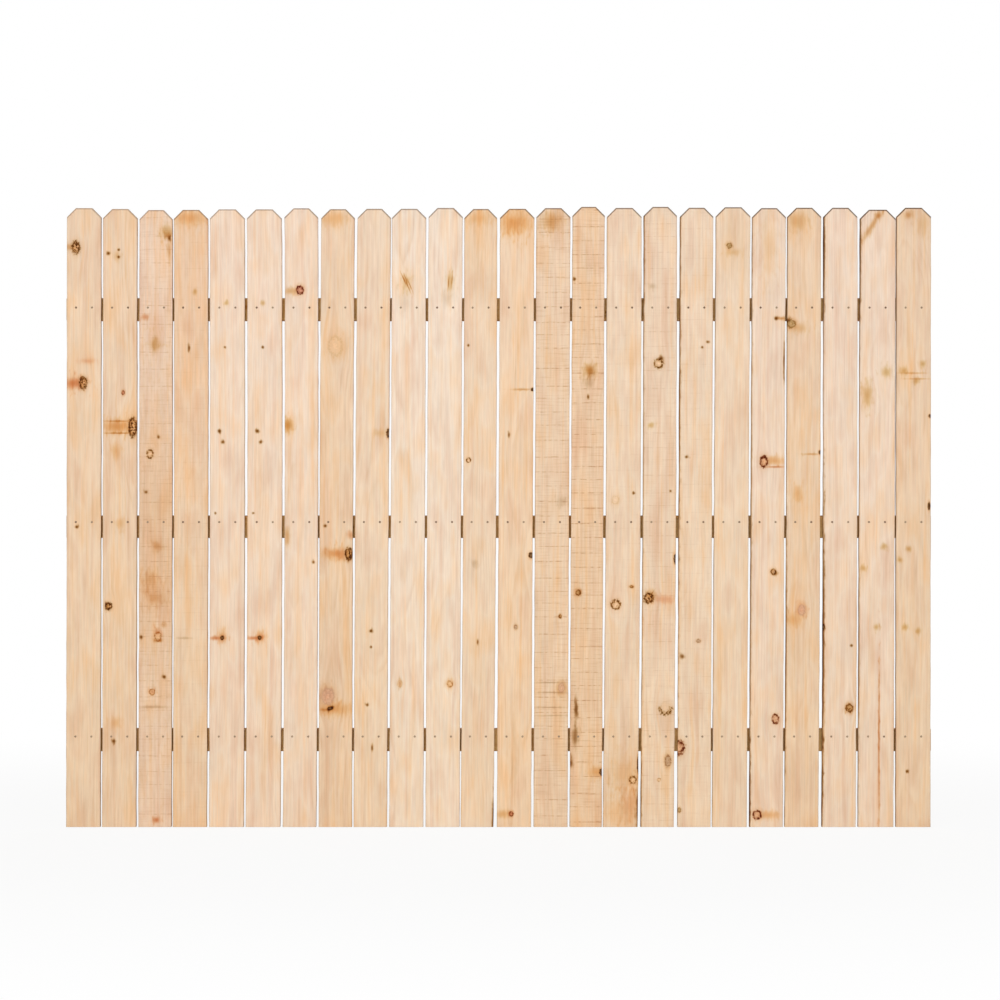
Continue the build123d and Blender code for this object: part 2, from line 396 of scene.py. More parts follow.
# The heart, paler in its middle, with its own fine rings
wave = add(knot, "ShaderNodeMath", [far, 13.0], operation="MULTIPLY")
wave = add(knot, "ShaderNodeMath", [wave], operation="SINE")
glow = add(knot, "ShaderNodeMapRange", [far, 0.0, 1.0, 1.25, 0.85])
wave = add(knot, "ShaderNodeMath", [wave, 0.1, glow], operation="MULTIPLY_ADD")
heart = add(knot, "ShaderNodeVectorMath", {"Vector": have["Heart"], "Scale": wave}, operation="SCALE")
inside = add(knot, "ShaderNodeMapRange", [far, 0.75, 1.1, 1.0, 0.0], interpolation_type="SMOOTHSTEP")
full = add(knot, "ShaderNodeMath", [inside, have["Heart Share"]], operation="MULTIPLY")
face = add(knot, "ShaderNodeMix", {0: full, 6: face, 7: heart}, data_type="RGBA").outputs[2]
print(knot.name, "heart", len(knot.nodes), "nodes")

# %% Group: knot face, specks and bark
# Dark specks in the heart, and the bark in a broken line just inside the rim
dots = add(knot, "ShaderNodeMapRange", [speck["X"], 0.48, 0.6, 0.0, 1.0])
dots = add(knot, "ShaderNodeMath", [dots, inside], operation="MULTIPLY")
dots = add(knot, "ShaderNodeMath", [dots, have["Speck Share"]], operation="MULTIPLY")
rim = add(knot, "ShaderNodeMath", [far, 0.86], operation="SUBTRACT")
rim = add(knot, "ShaderNodeMath", [rim, rim], operation="MULTIPLY")
rim = add(knot, "ShaderNodeMath", [rim, -22.0], operation="MULTIPLY")
rim = add(knot, "ShaderNodeMath", [rim], operation="EXPONENT")
broken = add(knot, "ShaderNodeMapRange", [speck["Y"], 0.38, 0.56, 0.15, 1.0])
rim = add(knot, "ShaderNodeMath", [rim, broken], operation="MULTIPLY")
drop = add(knot, "ShaderNodeSeparateXYZ", [away]).outputs["Z"]
drop = add(knot, "ShaderNodeMapRange", [drop, -0.2, 0.35, 1.0, 0.0])
low = add(knot, "ShaderNodeMix", {0: have["Rim Low"], 2: 1.0, 3: drop})
rim = add(knot, "ShaderNodeMath", [rim, low], operation="MULTIPLY")
rim = add(knot, "ShaderNodeMath", [rim, have["Bark Share"]], operation="MULTIPLY")
dark = add(knot, "ShaderNodeMath", [dots, rim], operation="MAXIMUM")
film = add(knot, "ShaderNodeGamma", [have["Bark"], dark])
face = add(knot, "ShaderNodeMix", {0: 1.0, 6: face, 7: film}, data_type="RGBA",
           blend_type="MULTIPLY").outputs[2]
add(knot, "NodeGroupOutput", [face])
print(knot.name, len(knot.nodes), "nodes")

# %% [markdown]
# ## Saw marks
# A band saw leaves fine scratches straight across the board, and where the log was pushed unevenly, a
# deeper line every few centimetres. Most pickets show none, a few show them faintly and four plainly, so
# the strength is an input. Cut into the mesh they would need very many faces, so a darker tint and a
# height for the bump stand for them.

# %% Group: saw marks
marks, have = new_group(
    "saw_marks",
    [("Color", "Color"), ("Board", "Vector"), ("Strength", "Float"), ("Seed", "Float")],
    [("Color", "Color"), ("Height", "Float")])
# Another stretch of the noise for each board
apart = add(marks, "ShaderNodeVectorMath", {"Vector": (90.0, 0.0, 733.0), "Scale": have["Seed"]},
            operation="SCALE")
place = add(marks, "ShaderNodeVectorMath", [have["Board"], apart], operation="ADD")
# Scratches about 3 mm apart and as long as the board is wide
at = add(marks, "ShaderNodeVectorMath", [place, (1 / 70, 0.0, 1 / 3.4)], operation="MULTIPLY")
scratch = add(marks, "ShaderNodeTexNoise", {"Vector": at, "Scale": 1.0, "Detail": 2.0})
scratch = add(marks, "ShaderNodeMapRange", [scratch, 0.52, 0.7, 0.0, 1.0])
# A deeper line every 42 mm or so, as the log was pushed, now sooner, now later, and broken by the grain
along = add(marks, "ShaderNodeSeparateXYZ", [place]).outputs["Z"]
at = add(marks, "ShaderNodeVectorMath", [place, (1 / 26, 0.0, 1 / 60)], operation="MULTIPLY")
bend = add(marks, "ShaderNodeTexNoise", {"Vector": at, "Scale": 1.0, "Detail": 2.0})
along = add(marks, "ShaderNodeMath", [bend, 3.0, along], operation="MULTIPLY_ADD")
at = add(marks, "ShaderNodeVectorMath", [place, (0.0, 0.0, 1 / 130)], operation="MULTIPLY")
drift = add(marks, "ShaderNodeTexNoise", {"Vector": at, "Scale": 1.0, "Detail": 1.0})
along = add(marks, "ShaderNodeMath", [drift, 70.0, along], operation="MULTIPLY_ADD")
along = add(marks, "ShaderNodeMath", [along, 42.0], operation="DIVIDE")
along = add(marks, "ShaderNodeMath", [along], operation="FRACT")
deep = add(marks, "ShaderNodeMapRange", [along, 0.0, 0.08, 1.0, 0.0])
at = add(marks, "ShaderNodeVectorMath", [place, (1 / 12, 0.0, 1 / 40)], operation="MULTIPLY")
gaps = add(marks, "ShaderNodeTexNoise", {"Vector": at, "Scale": 1.0, "Detail": 1.0})
gaps = add(marks, "ShaderNodeMapRange", [gaps, 0.4, 0.62, 0.1, 1.0])
deep = add(marks, "ShaderNodeMath", [deep, gaps], operation="MULTIPLY")
cut = add(marks, "ShaderNodeMath", [scratch, 0.28, deep], operation="MULTIPLY_ADD")
cut = add(marks, "ShaderNodeMath", [cut, have["Strength"]], operation="MULTIPLY", use_clamp=True)
wood = add(marks, "ShaderNodeMix", {0: cut, 6: have["Color"], 7: colour("#D2B498")}, data_type="RGBA",
           blend_type="MULTIPLY").outputs[2]
depth = add(marks, "ShaderNodeMath", [cut, -0.5], operation="MULTIPLY")
add(marks, "NodeGroupOutput", [wood, depth])
print(marks.name, len(marks.nodes), "nodes")

# %% [markdown]
# ## What each board is like
# Pine boards off one saw still differ: some are nearly white, some yellow, some rosy. Seven tones cover
# this panel. Knots and stains come in kinds as well, each with its colours, and for a knot how much of
# its heart and of its bark shows. A board could list a colour for each of its marks, but with kinds its
# entry stays short, and a kind is corrected in one place.

# %% Tones, kinds of knot, kinds of stain
# Early wood and late wood, with the late wood's colour as it looks in a merged streak
TONES = {
    "cream": ("#E9D7C5", "#DCC1A7"),
    "pale": ("#E7D2BF", "#DABDA1"),
    "straw": ("#E5CFB8", "#D8BA9B"),
    "honey": ("#E3CAB0", "#D7B594"),
    "amber": ("#E3C7AA", "#D7B28E"),
    "peach": ("#E7CDB2", "#DAB895"),
    "ash": ("#E3CAB5", "#D6B79A"),
}
# Heart, what the bark multiplies it by, shares of heart, bark and specks, bark on the lower side only
KNOTS = {
    "ring": ("#DDB388", "#6E4A1E", 0.45, 0.95, 0.1, 0.0),
    "arc": ("#DDB68A", "#5E3E14", 0.2, 1.0, 0.0, 1.0),
    "mottled": ("#C48A4C", "#563816", 0.6, 0.75, 0.9, 0.0),
    "eye": ("#CE9A72", "#622E18", 0.65, 1.0, 0.1, 0.0),
    "dark": ("#6A4826", "#64421E", 0.9, 0.9, 0.5, 0.0),
    "brown": ("#B48A58", "#785024", 0.7, 0.75, 0.5, 0.0),
    "red": ("#B07050", "#7A4426", 0.75, 0.9, 0.1, 0.0),
    "grey": ("#B4967A", "#B08E6C", 0.6, 0.6, 0.2, 0.0),
    "pale": ("#E0BE9A", "#EAD0AA", 0.35, 0.25, 0.0, 0.0),
    "garnet": ("#B87A60", "#642C1C", 0.8, 1.0, 0.3, 0.0),
    "olive": ("#B08E60", "#8C6A38", 0.9, 0.5, 0.15, 0.0),
    "rose": ("#CCA48C", "#D8B89C", 0.6, 0.1, 0.2, 0.0),
    "faint": ("#E2BC92", "#AC7C48", 0.4, 0.65, 0.1, 0.0),
}
# What the wood's colour is multiplied by at full strength
STAINS = {
    "pin": "#6E481E",
    "straw": "#D0B074",
    "orange": "#EBBE88",
    "tan": "#E6C89C",
    "red": "#DA9C74",
    "pink": "#F0C8B2",
    "grey": "#CABAA6",
    "brown": "#BE8448",
    # Soot: a dark stain as a spot, and painted shade as a long thin line down a board's edge
    "soot_and_edge_shade": "#846038",
}
print(len(TONES), "tones,", len(KNOTS), "kinds of knot,", len(STAINS), "kinds of stain")

# %% [markdown]
# ## The boards from left to right
# Knots could be scattered by chance, but a panel is known by where its knots are, so they are written
# down. Each entry gives a board's tone, where its pith ran (to the side and behind the face), its ring
# width, how strong its figure and saw marks are, and then its knots and stains: kind, side, height above
# the foot, half width and half height, and a stain's strength and slant. All sizes are in millimetres. A
# knot of a stain's kind is overgrown: it bends the grain and only tints the wood.

# %% The boards
# A long thin soot line down a board's edge, about 46 mm to the side, is painted shade of the side face
BOARDS = [
    ("honey", (-20, 70), 6.5, 0.5, 0,
     [("mottled", -23, 1632, 12, 18), ("mottled", -2, 1250, 11, 18)],
     [("pin", -20, 845, 3.4, 3.4, 0.9), ("brown", -43, 1633, 16, 9, 0.35), ("red", -29, 1250, 27, 17, 1.0),
      ("pink", 11, 1312, 22, 8, 0.7)]),
    ("honey", (60, 75), 6, 0.6, 0,
     [("red", 9, 1223, 4.2, 6.5), ("mottled", 36, 1126, 12, 28), ("mottled", -31, 622, 10, 11)],
     [("pin", -33, 1615, 3.9, 3.9, 0.9), ("pin", -4, 1625, 3.1, 3.1, 0.9), ("pin", -4, 1605, 3.4, 3.4, 0.9),
      ("tan", -9, 1608, 11, 14, 0.5), ("orange", -6, 1128, 42, 19, 1.0), ("brown", -4, 1143, 40, 2, 0.5),
      ("brown", -2, 1109, 42, 2, 0.6), ("orange", 2, 856, 14, 17, 0.4), ("orange", -12, 1059, 14, 22, 0.5),
      ("orange", -12, 293, 14, 17, 0.4), ("soot_and_edge_shade", -34, 622, 5, 7, 0.9), ("pin", -15, 242, 4.2, 5.6, 0.9)]),
    ("ash", (-70, 60), 7, 0.6, 0.55,
     [("straw", 30, 1677, 17, 20), ("straw", -3, 1360, 12, 20), ("ring", -16, 1050, 9, 13),
      ("pale", 24, 569, 7, 7.3), ("faint", 7, 536, 10, 13), ("faint", -9, 380, 8, 9)],
     [("brown", 34, 1664, 9, 10, 0.5), ("pin", 38, 1658, 4, 6, 0.6), ("brown", 37, 1625, 6, 31, 0.3),
      ("brown", 24, 569, 5, 5, 0.8), ("red", 6, 546, 9, 10, 0.7), ("brown", 8, 526, 9, 5, 1.0),
      ("red", -9, 381, 7, 8, 0.9), ("red", 4, 20, 9, 9, 0.9), ("red", -12, 660, 34, 50, 0.2),
      ("tan", 0, 800, 90, 460, 0.28), ("red", -30, 1436, 10, 8, 0.6), ("pin", 8, 1098, 3.4, 4.5, 0.7),
      ("pin", -27, 943, 3.7, 3.7, 0.8), ("brown", 4, 791, 14, 14, 0.3), ("brown", -16, 696, 22, 26, 0.25),
      ("brown", 0, 645, 26, 18, 0.2), ("pin", -40, 535, 3.9, 4.5, 0.9), ("pin", 25, 423, 4.5, 4.5, 0.9),
      ("grey", -6, 338, 39, 3.4, 0.6)]),
    ("honey", (10, 90), 8, 0.5, 0.15,
     [("straw", 11, 1508, 4.5, 7.3)],
     [("pin", -6, 1349, 3.1, 7.3, 0.8), ("grey", -17, 532, 20, 2.8, 0.5), ("orange", -1, 1715, 45, 20, 0.6),
      ("pink", 0, 1420, 90, 430, 0.18)]),
    ("pale", (75, 80), 5, 0.45, 0,
     [("straw", -3, 1475, 6.8, 6.8), ("dark", -14, 533, 5.5, 6.5)],
     [("pin", -7, 1351, 3.1, 3.1, 0.8), ("pin", -22, 1115, 4.5, 4.5, 0.95),
      ("pin", -13, 1084, 3.9, 3.9, 0.8), ("pin", -33, 884, 2.8, 2.8, 0.7), ("red", -32, 532, 18, 5, 0.8),
      ("red", -14, 533, 12, 12, 0.4), ("orange", -14, 540, 14, 18, 0.5)]),
    ("pale", (70, 85), 5, 0.45, 0,
     [("straw", -5, 1475, 6.8, 6.8), ("dark", -13, 533, 5.5, 6.5)],
     [("pin", -6, 1351, 3.1, 3.1, 0.8), ("pin", -21, 1115, 4.5, 4.5, 0.95),
      ("pin", -12, 1084, 3.9, 3.9, 0.8), ("pin", -32, 884, 2.8, 2.8, 0.7), ("red", -31, 532, 18, 5, 0.8),
      ("red", -13, 533, 12, 12, 0.4), ("orange", -13, 540, 14, 18, 0.5)]),
    ("pale", (-15, 95), 7, 0.5, 0,
     [("garnet", -4, 1512, 11, 12.5), ("straw", -37, 1132, 13, 17)],
     [("tan", -29, 1509, 22, 9.6, 0.9), ("orange", -40, 1130, 12, 20, 0.7),
      ("brown", -40, 822, 8.4, 25, 0.4), ("pin", 35, 746, 3.4, 3.9, 0.8)]),
    ("honey", (-10, 60), 7.5, 0.8, 0,
     [("pale", -5, 1354, 21, 30), ("mottled", 36, 769, 11, 17), ("rose", -22, 368, 21, 26),
      ("dark", -15, 334, 8, 4.5)],
     [("orange", 0, 1350, 24, 32, 0.3), ("pin", -31, 848, 3.9, 3.9, 0.9), ("red", 40, 822, 8.4, 11, 0.5),
      ("orange", -5, 769, 39, 17, 0.6), ("red", 10, 770, 26, 14, 0.4), ("soot_and_edge_shade", 39, 766, 8, 13, 0.6),
      ("orange", -15, 1712, 39, 22, 0.5), ("pink", -22, 370, 18, 20, 0.8), ("grey", -22, 376, 13, 16, 0.5),
      ("orange", -4, 332, 46, 18, 0.8), ("brown", -34, 330, 11, 4, 0.4), ("pin", -19, 331, 5, 3.5, 0.9),
      ("pin", -10, 338, 5, 3.5, 0.9)]),
    ("straw", (20, 100), 7, 0.5, 0,
     [("dark", 45, 1109, 5.5, 12)],
     [("tan", 22, 1109, 22, 11, 0.45), ("pin", -1, 552, 4.2, 4.2, 1.0), ("pin", 0, 507, 3.1, 3.1, 0.8),
      ("pin", -10, 344, 3.4, 3.4, 0.8), ("pin", 4, 223, 2.5, 7.3, 0.7)]),
    ("cream", (-12, 70), 8, 0.6, 0,
     [("pale", -20, 403, 8.4, 9.6)],
     [("brown", -14, 1541, 1.5, 14, 0.9, -0.42), ("brown", -8, 1543, 1.5, 13, 0.8, -0.42),
      ("brown", -4, 1526, 1.5, 17, 0.9, -0.42), ("brown", 3, 1526, 1.5, 14, 0.7, -0.42),
      ("straw", -6, 1532, 14, 24, 0.4), ("grey", -12, 1478, 16, 26, 0.25),
      ("brown", -20, 403, 4.5, 10, 0.9)]),
    ("cream", (12, 70), 8, 0.6, 0,
     [("faint", 19, 403, 8, 9)],
     [("brown", 9, 1532, 1.3, 20, 0.7, 0.08), ("straw", 14, 1536, 9, 28, 0.5),
      ("brown", 19, 1540, 1.3, 20, 0.7, 0.08), ("grey", 6, 1488, 16, 24, 0.25),
      ("orange", 19, 403, 14, 14, 0.5)]),
    ("straw", (-85, 70), 6, 0.6, 0,
     [("ring", -32, 1033, 6.5, 7)],
     [("pin", -34, 1356, 3.1, 3.1, 0.8), ("pin", -3, 521, 2.5, 6.2, 0.7), ("grey", -13, 743, 8.4, 11, 0.5),
      ("orange", -5, 1715, 39, 20, 0.4), ("orange", 0, 1620, 70, 160, 0.13),
      ("soot_and_edge_shade", 45, 28, 3.0, 48, 1.0)]),
    ("peach", (15, 60), 8, 0.6, 0,
     [("dark", 45, 1232, 4.5, 5), ("dark", 44, 765, 6.8, 8.4), ("grey", 2, 563, 5, 6.5),
      ("red", -8, 37, 6, 7)],
     [("orange", -14, 1695, 34, 28, 0.6), ("orange", 4, 1706, 44, 34, 0.5),
      ("brown", 16, 1232, 25, 2.8, 0.4), ("pin", -20, 1104, 2.5, 6.2, 0.7), ("tan", -30, 37, 17, 11, 0.8),
      ("orange", -3, 189, 11, 127, 0.15)]),
    ("honey", (50, 90), 7, 0.4, 0.85,
     [("brown", 24, 593, 4.5, 5.6), ("rose", 29, 392, 10, 15)],
     [("tan", -6, 1706, 36, 26, 0.5), ("brown", -6, 1702, 18, 24, 0.25), ("grey", 28, 918, 14, 14, 0.5),
      ("brown", 29, 392, 12.7, 18, 0.25), ("grey", -8, 407, 34, 2.0, 0.7), ("grey", 0, 379, 44, 2.0, 0.7),
      ("grey", -4, 337, 40, 2.0, 0.7), ("grey", 10, 314, 36, 2.0, 0.5)]),
    ("amber", (-40, 80), 7, 0.5, 1.0,
     [("straw", 6, 1284, 18, 17), ("brown", -24, 660, 7.5, 8.5), ("dark", 43, 155, 5, 10)],
     [("pin", -38, 1543, 3.4, 3.4, 0.8), ("brown", 6, 1286, 13, 13, 0.4), ("grey", 3, 1250, 13, 17, 0.6),
      ("pin", 1, 1211, 2.8, 5.6, 0.8), ("soot_and_edge_shade", -29, 332, 4.2, 26, 1.0), ("soot_and_edge_shade", -31, 256, 8, 26, 0.6),
      ("soot_and_edge_shade", -42, 180, 5, 12, 0.8), ("orange", 30, 155, 20, 15, 0.7)]),
    ("straw", (15, 75), 7.5, 0.55, 0.15,
     [("pale", -22, 921, 11, 12.4), ("ring", -19, 626, 13.5, 14), ("brown", 25, 677, 5.5, 3.8),
      ("ring", 34, 133, 10, 11), ("dark", 49, 178, 4, 24)],
     [("pin", 29, 940, 3.1, 3.1, 0.8), ("soot_and_edge_shade", 49, 48, 5, 60, 0.85), ("orange", 0, 50, 60, 50, 0.28),
      ("red", 28, 68, 26, 46, 0.3), ("orange", 8, 150, 45, 50, 0.35)]),
    ("straw", (30, 85), 6.5, 0.5, 0.38,
     [("ring", -4, 1305, 13, 14), ("straw", -26, 1131, 8.4, 8.4), ("mottled", -29, 645, 14, 15),
      ("dark", 46, 755, 5.1, 14), ("arc", 21, 335, 18, 18.6), ("grey", 29, 186, 9.3, 17),
      ("faint", 4, 133, 5, 5)],
     [("soot_and_edge_shade", 4, 1320, 5, 6, 1.0), ("grey", -22, 1523, 11, 8.4, 0.5), ("pink", 14, 642, 28, 12.4, 0.8),
      ("tan", -20, 654, 13, 13, 0.8), ("soot_and_edge_shade", -25, 652, 2.0, 12, 0.5, 0.8),
      ("pin", 31, 946, 3.1, 3.1, 0.8), ("soot_and_edge_shade", -46, 1640, 2.4, 150, 0.6),
      ("soot_and_edge_shade", -46, 850, 2.0, 700, 0.3), ("soot_and_edge_shade", -46, 60, 2.4, 130, 0.65)]),
    ("straw", (-60, 95), 6.5, 0.45, 0.2,
     [("grey", 10, 524, 6.2, 5.1), ("eye", -45, 224, 17, 20), ("olive", -42, 48, 5.5, 7)],
     [("soot_and_edge_shade", -46, 1300, 2.4, 600, 0.75), ("soot_and_edge_shade", -35, 480, 6, 6, 0.85), ("pin", 33, 1366, 3.4, 3.4, 0.8),
      ("pin", 17, 1351, 3.4, 3.4, 0.8), ("pin", -26, 1042, 3.9, 3.9, 0.95)]),
    ("straw", (0, 110), 8, 0.35, 0,
     [("olive", -11, 1637, 7.5, 8.5)],
     [("soot_and_edge_shade", -7, 1638, 3.5, 6, 0.9), ("tan", 0, 1618, 20, 10, 0.5), ("tan", 0, 1640, 50, 110, 0.15)]),
    ("pale", (65, 75), 6, 0.5, 0,
     [("eye", -11, 1029, 10.7, 16.3), ("ring", 17, 719, 7, 8), ("eye", 25, 304, 10, 14),
      ("eye", -25, 34, 12, 13)],
     [("soot_and_edge_shade", -46.5, 80, 2.8, 120, 1.0), ("soot_and_edge_shade", -46, 700, 2.2, 700, 0.45),
      ("soot_and_edge_shade", 44, 1309, 2.0, 42, 1.0), ("tan", -2, 1640, 24, 110, 0.35), ("pin", 21, 1432, 4.5, 4.5, 0.95),
      ("brown", 38, 1432, 14, 4.5, 0.55), ("orange", 18, 1031, 28, 12.4, 0.8),
      ("pin", 20.5, 716, 5, 6, 0.9), ("brown", 17, 718, 8, 8.5, 0.5), ("red", 20, 1014, 28, 2.5, 0.8),
      ("orange", 9, 34, 28, 11, 0.65)]),
    ("honey", (-15, 80), 7.5, 0.5, 0,
     [("olive", -36, 1417, 13, 12), ("dark", 46, 1055, 4, 5), ("rose", -3, 611, 11, 16)],
     [("soot_and_edge_shade", -46.3, 500, 2.2, 260, 0.55), ("soot_and_edge_shade", -45, 1426, 5, 7, 0.9), ("tan", -14, 1405, 26, 14, 0.6),
      ("tan", -18, 1705, 28, 26, 0.7), ("brown", 23, 1050, 20, 2.8, 0.4),
      ("orange", -16, 940, 14, 22, 0.55), ("pink", -3, 612, 14, 16, 0.8),
      ("orange", -24, 584, 22, 20, 0.5)]),
    ("pale", (90, 70), 5, 0.55, 0,
     [("dark", -46, 563, 4, 8), ("brown", 28, 335, 11, 12)],
     [("soot_and_edge_shade", -46.5, 1640, 3.4, 150, 1.0), ("soot_and_edge_shade", -46.5, 510, 3.4, 330, 1.0),
      ("soot_and_edge_shade", -46.5, 90, 2.4, 110, 0.6), ("pin", 34, 511, 3.1, 3.1, 0.8)]),
    ("pale", (10, 85), 8, 0.45, 0,
     [("straw", 25, 1281, 13, 15), ("straw", -28, 1215, 14, 34), ("straw", 21, 791, 8.4, 9),
      ("straw", -38, 729, 8.4, 9), ("straw", -1, 563, 7.9, 8.4)],
     [("brown", -18, 1690, 9, 42, 0.45, 0.62), ("brown", 3, 1722, 11, 9, 0.5),
      ("red", 8, 220, 2.6, 240, 0.5), ("brown", 8, 290, 1.6, 130, 0.35), ("brown", 10, 90, 1.4, 96, 0.3),
      ("soot_and_edge_shade", -48.7, 1640, 2.4, 150, 0.7), ("soot_and_edge_shade", -48.7, 480, 2.0, 240, 0.35)]),
    ("honey", (-20, 90), 7, 0.45, 0,
     [("straw", -27, 1284, 9.6, 10), ("straw", 26, 1304, 8.4, 8.4), ("straw", 7, 1256, 7.9, 8.4),
      ("dark", 46, 1157, 4, 4.5), ("dark", 44, 904, 3.9, 11.3), ("straw", -13, 783, 6.8, 7.3),
      ("straw", -38, 752, 6.8, 6.8), ("straw", -24, 563, 7.9, 8.4), ("straw", 13, 552, 7.3, 7.9)],
     [("pin", -17, 157, 2.8, 3.4, 0.9), ("brown", -14, 1723, 11, 11, 0.4), ("tan", 26, 1700, 18, 34, 0.4),
      ("brown", -4, 1278, 34, 2.4, 0.3), ("brown", 12, 1262, 32, 2.2, 0.3)]),
]
print(sum(len(board[5]) for board in BOARDS), "knots on", len(BOARDS), "boards")

# %% [markdown]
# ## The pine material
# Sawn, unfinished pine is matt, with hardly any sheen. One material for the whole panel would have to work
# out every knot at every point, so each board gets a material of its own, put together from the same
# groups. It reads the attribute board, lets each knot bend the grain, draws the pine, then the stains and
# the knots, a yellower foot that is painted light from the ground, and the saw marks, and at last paints
# shade: darker arrises, a dark line round the head, darker and warmer sides and end grain, and on a rail a
# warmer front. Fibres and saw marks also raise and sink the surface by a fraction of a millimetre.

# %% Wood with its stains and knots
SOFT_KNOT = 0.6


def wood_face(tree, board, seed, tone, pith, ring_width, figure, knots, stains):
    """The colour of a board's wood with its stains and knots, and its fibres."""
    place = add(tree, "ShaderNodeVectorMath", [board, (300.0 * seed, 0.0, 0.0)], operation="ADD")
    # Mottle about 6 mm across, and ragged edges 9 mm wide and 24 mm long
    mottle = add(tree, "ShaderNodeTexNoise", {"Vector": place, "Scale": 1 / 6, "Detail": 2.0})
    at = add(tree, "ShaderNodeVectorMath", [place, (1 / 9, 1 / 9, 1 / 24)], operation="MULTIPLY")
    ragged = add(tree, "ShaderNodeTexNoise", {"Vector": at, "Scale": 1.0, "Detail": 2.0})
    # Fibres, drawn 3.4 mm wide and 110 mm long, where real ones are too fine to show
    at = add(tree, "ShaderNodeVectorMath", [place, (1 / 3.4, 1 / 3.4, 1 / 110)], operation="MULTIPLY")
    fibre = add(tree, "ShaderNodeTexNoise", {"Vector": at, "Scale": 1.0, "Detail": 3.0})
    grain = board
    for kind, side, height, wide, tall in knots:
        grain = add(tree, "ShaderNodeGroup",
                    {"Board": grain, "Side": side, "Height": height, "Half Width": wide, "Half Height": tall},
                    node_tree=around)
    early, late = TONES[tone]
    face = add(tree, "ShaderNodeGroup",
               {"Board": grain, "Pith Side": pith[0], "Pith Depth": pith[1], "Ring Width": ring_width,
                "Figure": figure, "Early Wood": colour(early), "Late Wood": colour(late), "Fibre": fibre,
                "Seed": seed}, node_tree=pine)
    soft = [(*mark, SOFT_KNOT) for mark in knots if mark[0] in STAINS]
    for kind, side, height, wide, tall, strength, *slant in stains + soft:
        face = add(tree, "ShaderNodeGroup",
                   {"Color": face, "Board": board, "Side": side, "Height": height, "Half Width": wide,
                    "Half Height": tall, "Stain": colour(STAINS[kind]), "Strength": strength,
                    "Slant": slant[0] if slant else 0.0, "Ragged": ragged}, node_tree=stain)
    for kind, side, height, wide, tall in knots:
        if kind in KNOTS:
            heart, bark, heart_share, bark_share, speck_share, rim_low = KNOTS[kind]
            face = add(tree, "ShaderNodeGroup",
                       {"Color": face, "Board": board, "Mottle": mottle.outputs["Color"], "Side": side,
                        "Height": height, "Half Width": wide, "Half Height": tall, "Heart": colour(heart),
                        "Bark": colour(bark), "Heart Share": heart_share, "Bark Share": bark_share,
                        "Speck Share": speck_share, "Rim Low": rim_low}, node_tree=knot)
    return face, fibre


print("overgrown knots:", sum(mark[0] in STAINS for entry in BOARDS for mark in entry[5]))

# %% Painted edge shade
# Painted shade: how much the arrises darken, and from which level and how fast a dark line runs down the left
# arris
ARRIS_SHADE = 0.2
LINE_FROM = 0.6
LINE_RISE = 1.4


def shade_edges(tree, face, spot, half_width, length, ear, shade_level):
    """A board's colour with painted shade at its arrises, round its head and down its left arris."""
    # How far a point is from the nearest long edge, cut corner or end, in millimetres
    side = add(tree, "ShaderNodeMath", [spot["X"]], operation="ABSOLUTE")
    side = add(tree, "ShaderNodeMath", [half_width, side], operation="SUBTRACT")
    top = add(tree, "ShaderNodeMath", [length, spot["Z"]], operation="SUBTRACT")
    corner = add(tree, "ShaderNodeMath", [side, top], operation="ADD")
    corner = add(tree, "ShaderNodeMath", [corner, ear], operation="SUBTRACT")
    corner = add(tree, "ShaderNodeMath", [corner, math.sqrt(0.5)], operation="MULTIPLY")
    top = add(tree, "ShaderNodeMath", [top, corner], operation="MINIMUM")
    # Painted shade: the face's arrises are greyed as rounded edges turned from the lamps, a dark line is
    # drawn round the heads, and where the shade level is highest, a dark line runs down the left arris too,
    # standing for the shaded side face, most of all above the top rail
    painted_shade = add(tree, "ShaderNodeMapRange", [side, 2.8, 0.6, 0.0, ARRIS_SHADE], interpolation_type="SMOOTHSTEP")
    head_shade = add(tree, "ShaderNodeMapRange", [top, 4.6, 2.0, 0.0, shade_level], interpolation_type="SMOOTHSTEP")
    painted_shade = add(tree, "ShaderNodeMath", [painted_shade, head_shade], operation="MAXIMUM")
    line = max(0.0, LINE_RISE * (shade_level - LINE_FROM))
    left = add(tree, "ShaderNodeMath", [spot["X"], half_width], operation="ADD")
    left = add(tree, "ShaderNodeMapRange", [left, 3.4, 1.0, 0.0, line], interpolation_type="SMOOTHSTEP")
    high = add(tree, "ShaderNodeMapRange", [spot["Z"], 1200.0, 1500.0, 0.5, 1.3])
    left = add(tree, "ShaderNodeMath", [left, high], operation="MULTIPLY")
    painted_shade = add(tree, "ShaderNodeMath", [painted_shade, left], operation="MAXIMUM")
    # All of it on the face only, not down the sides
    shallow = add(tree, "ShaderNodeMapRange", [spot["Y"], 1.5, 3.5, 1.0, 0.0])
    painted_shade = add(tree, "ShaderNodeMath", [painted_shade, shallow], operation="MULTIPLY")
    # The painted shade multiplies the face by a dark brown
    return add(tree, "ShaderNodeMix", {0: painted_shade, 6: face, 7: colour("#5E4A38")}, data_type="RGBA",
               blend_type="MULTIPLY").outputs[2]


print("the left arris darkens past a weather of", LINE_FROM)


